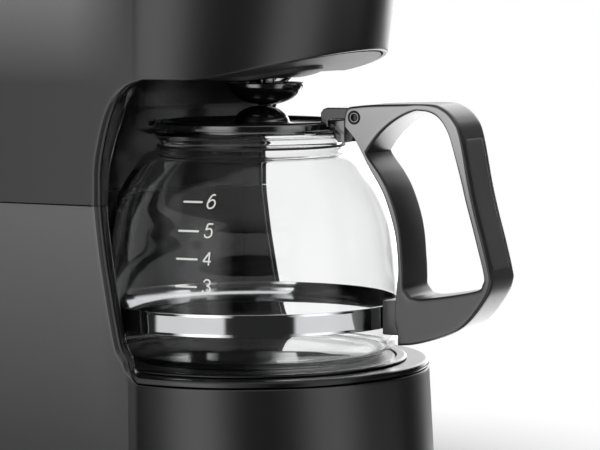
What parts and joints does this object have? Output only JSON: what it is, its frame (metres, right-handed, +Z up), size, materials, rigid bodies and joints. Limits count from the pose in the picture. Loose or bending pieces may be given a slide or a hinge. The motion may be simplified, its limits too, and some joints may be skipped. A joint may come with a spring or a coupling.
{
  "type": "drip coffee maker",
  "caption": "Compact drip coffee maker: rounded black housing with a carafe bay, hotplate, top-loading filter and glass carafe with a strap handle.",
  "frame": {"origin": "on the carafe's axis at table level, which is the middle of the footprint with the carafe's handle", "axes": "+Z up, -Y towards the front where the carafe's handle points, +X to the right as seen from the front"},
  "size_m": [0.1485, 0.2281, 0.262],
  "materials": {
    "black_plastic": "satin black housing plastic",
    "gloss_black_plastic": "glossy black plastic",
    "satin_black_plastic": "polished satin black plastic",
    "dark_plastic": "dark moulded plastic",
    "grip_plastic": "matt dark grey grip",
    "black_rubber": "black rubber",
    "silicone": "milky silicone",
    "white_plastic": "off-white polypropylene",
    "hotplate_enamel": "black non-stick enamel",
    "aluminium": "cast aluminium",
    "steel": "zinc-plated steel",
    "chrome": "polished stainless band",
    "clear_glass": "clear borosilicate glass"
  },
  "bodies": {
    "machine": {"lower_shell": "black_plastic", "upper_shell": "black_plastic", "bay_liner": "gloss_black_plastic", "bay_liner_upper": "gloss_black_plastic", "underside_plate": "dark_plastic", "bottom_cover": "dark_plastic", "cord_gland": "black_rubber", "switch_bezel": "gloss_black_plastic", "hotplate": "hotplate_enamel", "hotplate_seal": "black_rubber", "heating_element": "aluminium", "heater_water_tube": "aluminium", "heater_clamp": "steel", "clamp_nut": "steel", "thermostat": "white_plastic", "thermal_fuse": "silicone", "water_tank": "white_plastic", "check_valve": "white_plastic", "cold_hose": "silicone", "riser_hose": "silicone", "outlet_spout": "dark_plastic", "top_deck": "dark_plastic", "filter_holder": "dark_plastic", "valve_spring": "steel", "top_lid_pin": "steel", "foot_1": "black_rubber", "cover_screw_1": "steel", "foot_2": "black_rubber", "cover_screw_2": "steel", "foot_3": "black_rubber", "cover_screw_3": "steel", "foot_4": "black_rubber", "cover_screw_4": "steel"},
    "top_lid": {"top_lid": "black_plastic", "lid_shower": "dark_plastic"},
    "filter_basket": {"filter_basket": "dark_plastic"},
    "drip_valve": {"drip_valve": "gloss_black_plastic", "valve_seal": "silicone"},
    "power_rocker": {"power_rocker": "gloss_black_plastic"},
    "carafe": {"carafe_glass": "clear_glass", "carafe_band": "chrome", "neck_ring": "dark_plastic", "carafe_handle": "satin_black_plastic", "handle_grip": "grip_plastic", "handle_bracket": "satin_black_plastic", "band_screw": "steel", "neck_clip": "gloss_black_plastic", "carafe_lid": "gloss_black_plastic", "carafe_lid_pin": "steel"}
  },
  "joints": [
    {"name": "top_lid_hinge", "type": "hinge", "parent": "machine", "child": "top_lid", "pos_m": [0, 0.1006, 0.2583], "axis": [-1, 0, 0], "range_deg": [0, 95]},
    {"name": "filter_basket_lift", "type": "slide", "parent": "machine", "child": "filter_basket", "axis": [0, 0, 1], "range_m": [0, 0.07]},
    {"name": "carafe_pull_out", "type": "slide", "parent": "machine", "child": "carafe", "axis": [0, -1, 0], "range_m": [0, 0.2]},
    {"name": "drip_valve_travel", "type": "slide", "parent": "machine", "child": "drip_valve", "axis": [0, 0, -1], "range_m": [0, 0.004]},
    {"name": "power_rocker", "type": "hinge", "parent": "machine", "child": "power_rocker", "pos_m": [0.06766, -0.02463, 0.027], "axis": [0, 0, 1], "range_deg": [0, 20]}
  ],
  "couplings": [
    {"joint": "filter_basket_lift", "follows": "top_lid_hinge", "m_per_rad": 0.04216},
    {"joint": "drip_valve_travel", "follows": "carafe_pull_out", "ratio": 0.0199}
  ]
}
